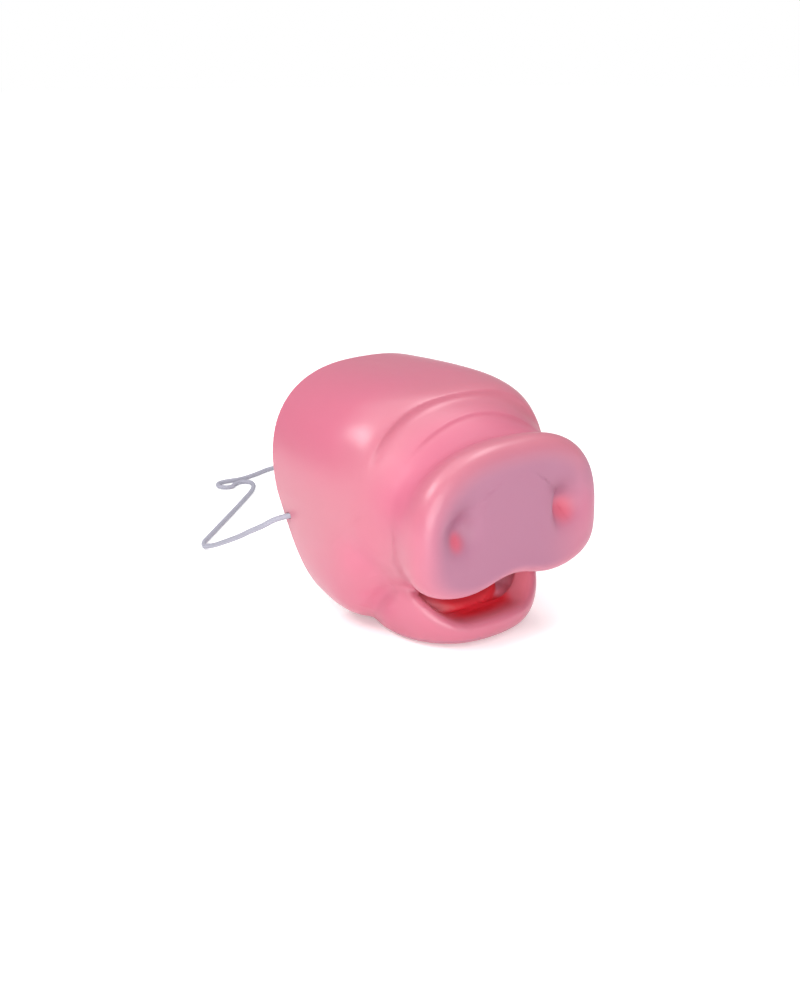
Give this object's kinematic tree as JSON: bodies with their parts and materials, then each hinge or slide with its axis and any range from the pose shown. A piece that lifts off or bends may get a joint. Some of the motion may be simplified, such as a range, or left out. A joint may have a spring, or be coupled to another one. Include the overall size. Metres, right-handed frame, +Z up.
{
  "type": "costume pig nose",
  "caption": "Hollow soft vinyl pig muzzle with a flat nose disc, nostril dents and an open lower jaw, worn over the nose on a thin elastic cord.",
  "frame": {"origin": "on the floor, under the middle of the muzzle's box, cord left out", "axes": "+X to the pig's left, -Y the way the nose disc faces, +Z up"},
  "size_m": [0.1127, 0.2165, 0.0851],
  "materials": {
    "vinyl": "satin pink vinyl, disc sprayed mauve, mouth sprayed red",
    "elastic": "white round braided elastic"
  },
  "bodies": {
    "root": {"snout_shell": "vinyl", "elastic_cord": "elastic", "cord_knot_right": "elastic", "cord_knot_left": "elastic"}
  },
  "joints": []
}
